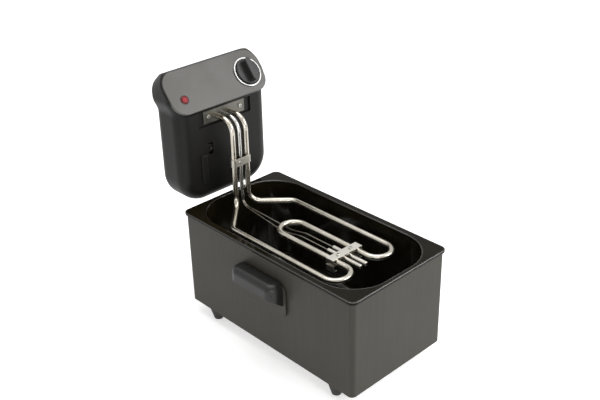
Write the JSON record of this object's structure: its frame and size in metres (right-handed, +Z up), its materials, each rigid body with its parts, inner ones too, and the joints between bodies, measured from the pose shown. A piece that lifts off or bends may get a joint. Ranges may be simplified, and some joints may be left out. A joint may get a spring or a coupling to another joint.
{
  "type": "deep fryer",
  "caption": "Household deep fryer: grey steel housing with an enamelled oil tank and hooded grips, and a lift-out control head carrying a bent heating element.",
  "frame": {"origin": "centre of the whole appliance seen from above, on the floor", "axes": "+X across the housing, +Y to the rear where the control head hangs, +Z up"},
  "size_m": [0.2262, 0.401, 0.3635],
  "materials": {
    "lacquered_steel": "dark grey satin lacquer",
    "black_enamel": "glossy black vitreous enamel",
    "black_plastic": "fine-grained black plastic",
    "grip_plastic": "satin black plastic",
    "panel_grey": "satin grey",
    "bright_metal": "polished",
    "red_lens": "clear red",
    "knob_plastic": "satin",
    "heater_steel": "bright drawn tube",
    "sheet_steel": "plain rolled sheet",
    "zinc_screw": "zinc plated",
    "copper": "drawn copper",
    "foot_rubber": "matt",
    "insulator": "pale moulding",
    "switch_plastic": "dark brown moulding"
  },
  "bodies": {
    "housing": {"housing_shell": "lacquered_steel", "bottom_plate": "sheet_steel", "feet": "foot_rubber", "foot_screws": "zinc_screw", "tank": "black_enamel", "left_handle_shield": "lacquered_steel", "left_handle": "grip_plastic", "right_handle_shield": "lacquered_steel", "right_handle": "grip_plastic", "handle_screws": "zinc_screw", "head_guide": "sheet_steel", "guide_rivets": "zinc_screw"},
    "control_head": {"head_front_cover": "black_plastic", "head_rear_cover": "black_plastic", "cover_screws": "zinc_screw", "head_top_cover": "black_plastic", "control_panel": "panel_grey", "knob_bezel": "bright_metal", "thermostat": "switch_plastic", "power_lamp_lens": "red_lens", "power_lamp_rim": "black_plastic", "lamp_holder": "insulator", "element_bracket": "sheet_steel", "bracket_screws": "zinc_screw", "heating_element": "heater_steel", "element_terminals": "zinc_screw", "terminal_block": "insulator", "sensor_guide_tube": "heater_steel", "thermostat_capillary": "copper", "cutout_capillary": "copper", "thermostat_bulb": "copper", "cutout_bulb": "copper", "leg_strap": "sheet_steel", "leg_strap_screw": "zinc_screw", "coil_clamp_base": "sheet_steel", "coil_clamp_top": "sheet_steel", "coil_clamp_screws": "zinc_screw", "safety_switch": "switch_plastic", "thermal_cutout": "switch_plastic", "cord_gland": "grip_plastic"},
    "knob": {"control_knob": "knob_plastic", "thermostat_shaft": "sheet_steel"},
    "reset": {"reset_button": "knob_plastic"},
    "plunger": {"switch_plunger": "insulator"}
  },
  "joints": [
    {"name": "head_lift", "type": "slide", "parent": "housing", "child": "control_head", "axis": [0, 0, 1], "range_m": [-0.112, 0.04]},
    {"name": "knob_turn", "type": "hinge", "parent": "control_head", "child": "knob", "pos_m": [0.057, 0.1519, 0.33676], "axis": [0, -0.7826, 0.6225], "range_deg": [-270, 0]},
    {"name": "reset_press", "type": "slide", "parent": "control_head", "child": "reset", "axis": [0, -1, 0], "range_m": [0, 0.002], "stiffness_N_per_m": 400},
    {"name": "plunger_press", "type": "slide", "parent": "control_head", "child": "plunger", "axis": [0, 1, 0], "range_m": [0, 0.0012], "stiffness_N_per_m": 400}
  ]
}
